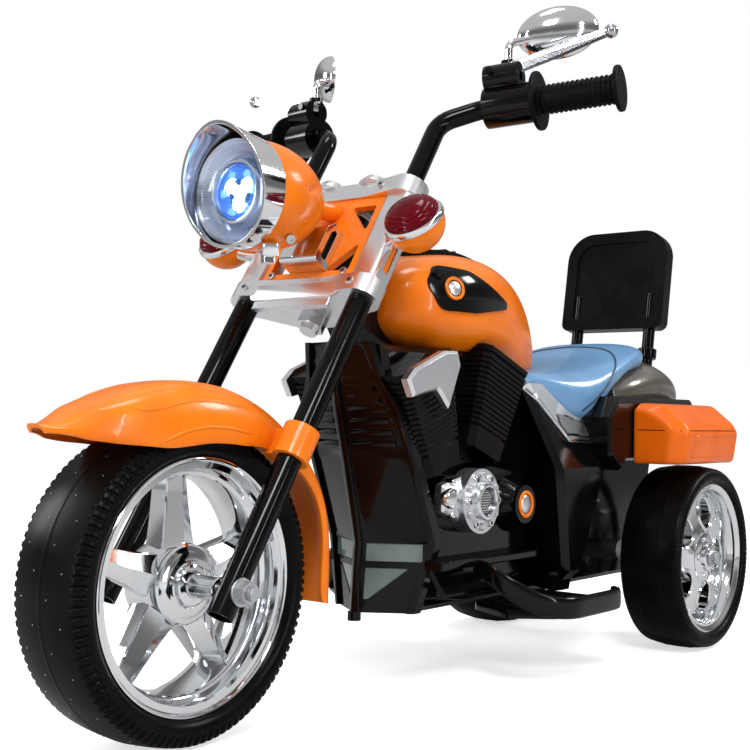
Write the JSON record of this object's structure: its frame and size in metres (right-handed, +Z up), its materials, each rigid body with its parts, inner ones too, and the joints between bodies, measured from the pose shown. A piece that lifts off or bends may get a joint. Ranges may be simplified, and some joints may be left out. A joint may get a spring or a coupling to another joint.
{
  "type": "children's battery chopper trike",
  "caption": "Battery ride-on chopper trike for a child: steered raked fork, spoked wheels, tank, saddle with backrest, mock V engine, footboards and saddlebags.",
  "frame": {"origin": "middle of the bounding box on the floor", "axes": "+X to the rider's left, +Y to the rear, +Z up"},
  "size_m": [0.4458, 0.881, 0.6283],
  "materials": {
    "orange": "gloss painted orange",
    "gloss_black": "gloss black moulding",
    "satin_black": "satin black moulding",
    "seat_blue": "satin steel blue moulding",
    "plated": "bright metal plated plastic",
    "silver": "silver coated plastic",
    "tyre": "black blow-moulded plastic tyre",
    "rubber": "ribbed black rubber",
    "steel": "zinc plated steel",
    "black_steel": "gloss black painted tube",
    "mirror_plated": "bright shell with a reflecting plate",
    "lens_clear": "clear fluted plastic lens",
    "lens_red": "deep red lens",
    "lamp_white": "white lamp unit",
    "smoked": "smoked green window",
    "cowl_dark": "dark pearl cowl",
    "bush": "natural nylon bush",
    "battery": "sealed battery block",
    "switch_red": "red rocker"
  },
  "bodies": {
    "chassis": {"body_left": "gloss_black", "body_right": "gloss_black", "steering_head": "gloss_black", "bushes": "bush", "rear_axle": "steel", "front_panel": "gloss_black", "panel_windows": "smoked", "fuel_tank": "orange", "tank_inlays": "gloss_black", "tank_console": "satin_black", "seat": "seat_blue", "seat_trims": "silver", "side_panels": "gloss_black", "rear_cowl": "cowl_dark", "backrest": "satin_black", "backrest_posts": "black_steel", "saddlebag_left": "orange", "saddlebag_right": "orange", "engine_cylinders": "satin_black", "engine_cases": "gloss_black", "engine_covers": "plated", "footboard_left": "gloss_black", "footboard_right": "gloss_black", "battery": "battery", "drive_unit": "satin_black", "charging_socket": "satin_black"},
    "fork": {"fork_tubes": "black_steel", "lower_yoke": "silver", "upper_yoke": "silver", "steering_stem": "silver", "fork_sleeves": "silver", "lamp_bracket": "orange", "horn_frame": "plated", "horn_core": "satin_black", "headlight_bowl": "orange", "headlight_bezel": "plated", "headlight_reflector": "plated", "headlight_lens": "lens_clear", "headlight_lamp": "lamp_white", "signal_bowls": "orange", "signal_rings": "plated", "signal_lenses": "lens_red", "front_fender": "orange", "front_axle": "steel", "handlebars": "black_steel", "grips": "rubber", "control_pods": "satin_black"},
    "front_wheel": {"front_tyre": "tyre", "front_rim": "plated"},
    "rear_wheel_left": {"rear_tyre_left": "tyre", "rear_rim_left": "plated"},
    "rear_wheel_right": {"rear_tyre_right": "tyre", "rear_rim_right": "plated"},
    "lever_left": {"hand_lever_left": "plated"},
    "lever_right": {"hand_lever_right": "plated"},
    "mirror_left": {"mirror_left": "mirror_plated"},
    "mirror_right": {"mirror_right": "mirror_plated"},
    "pedal": {"pedal": "rubber"},
    "power_switch": {"power_rocker": "switch_red"},
    "direction_switch": {"direction_rocker": "satin_black"}
  },
  "joints": [
    {"name": "steering", "type": "hinge", "parent": "chassis", "child": "fork", "pos_m": [0, -0.13302, 0.36196], "axis": [0, 0.5388, 0.8425], "range_deg": [-32, 32]},
    {"name": "front_wheel_spin", "type": "hinge", "parent": "fork", "child": "front_wheel", "pos_m": [0, -0.3115, 0.12], "axis": [1, 0, 0], "continuous": true},
    {"name": "rear_left_spin", "type": "hinge", "parent": "chassis", "child": "rear_wheel_left", "pos_m": [0.125, 0.3405, 0.1], "axis": [1, 0, 0], "continuous": true},
    {"name": "rear_right_spin", "type": "hinge", "parent": "chassis", "child": "rear_wheel_right", "pos_m": [-0.125, 0.3405, 0.1], "axis": [1, 0, 0], "continuous": true},
    {"name": "mirror_left_swivel", "type": "hinge", "parent": "fork", "child": "mirror_left", "pos_m": [0.1144, -0.02442, 0.56118], "axis": [0, 0, 1], "range_deg": [-25, 25]},
    {"name": "mirror_right_swivel", "type": "hinge", "parent": "fork", "child": "mirror_right", "pos_m": [-0.1144, -0.02442, 0.56118], "axis": [0, 0, -1], "range_deg": [-25, 25]},
    {"name": "lever_left_squeeze", "type": "hinge", "parent": "fork", "child": "lever_left", "pos_m": [0.10742, -0.03733, 0.55537], "axis": [-0.2246, 0.9744, -0.0064], "range_deg": [0, 6.5], "stiffness_Nm_per_rad": 1, "springref_deg": -8.59},
    {"name": "lever_right_squeeze", "type": "hinge", "parent": "fork", "child": "lever_right", "pos_m": [-0.10742, -0.03733, 0.55537], "axis": [-0.2246, -0.9744, 0.0064], "range_deg": [0, 6.5], "stiffness_Nm_per_rad": 1, "springref_deg": -8.59},
    {"name": "pedal_press", "type": "hinge", "parent": "chassis", "child": "pedal", "pos_m": [-0.113, 0.1335, 0.081], "axis": [1, 0, 0], "range_deg": [0, 8], "stiffness_Nm_per_rad": 1.5, "springref_deg": -11.46},
    {"name": "power_rock", "type": "hinge", "parent": "chassis", "child": "power_switch", "pos_m": [0, 0.0025, 0.4102], "axis": [1, 0, 0], "range_deg": [-8, 8]},
    {"name": "direction_rock", "type": "hinge", "parent": "chassis", "child": "direction_switch", "pos_m": [0, 0.0445, 0.41192], "axis": [1, 0, 0], "range_deg": [-8, 8]}
  ]
}
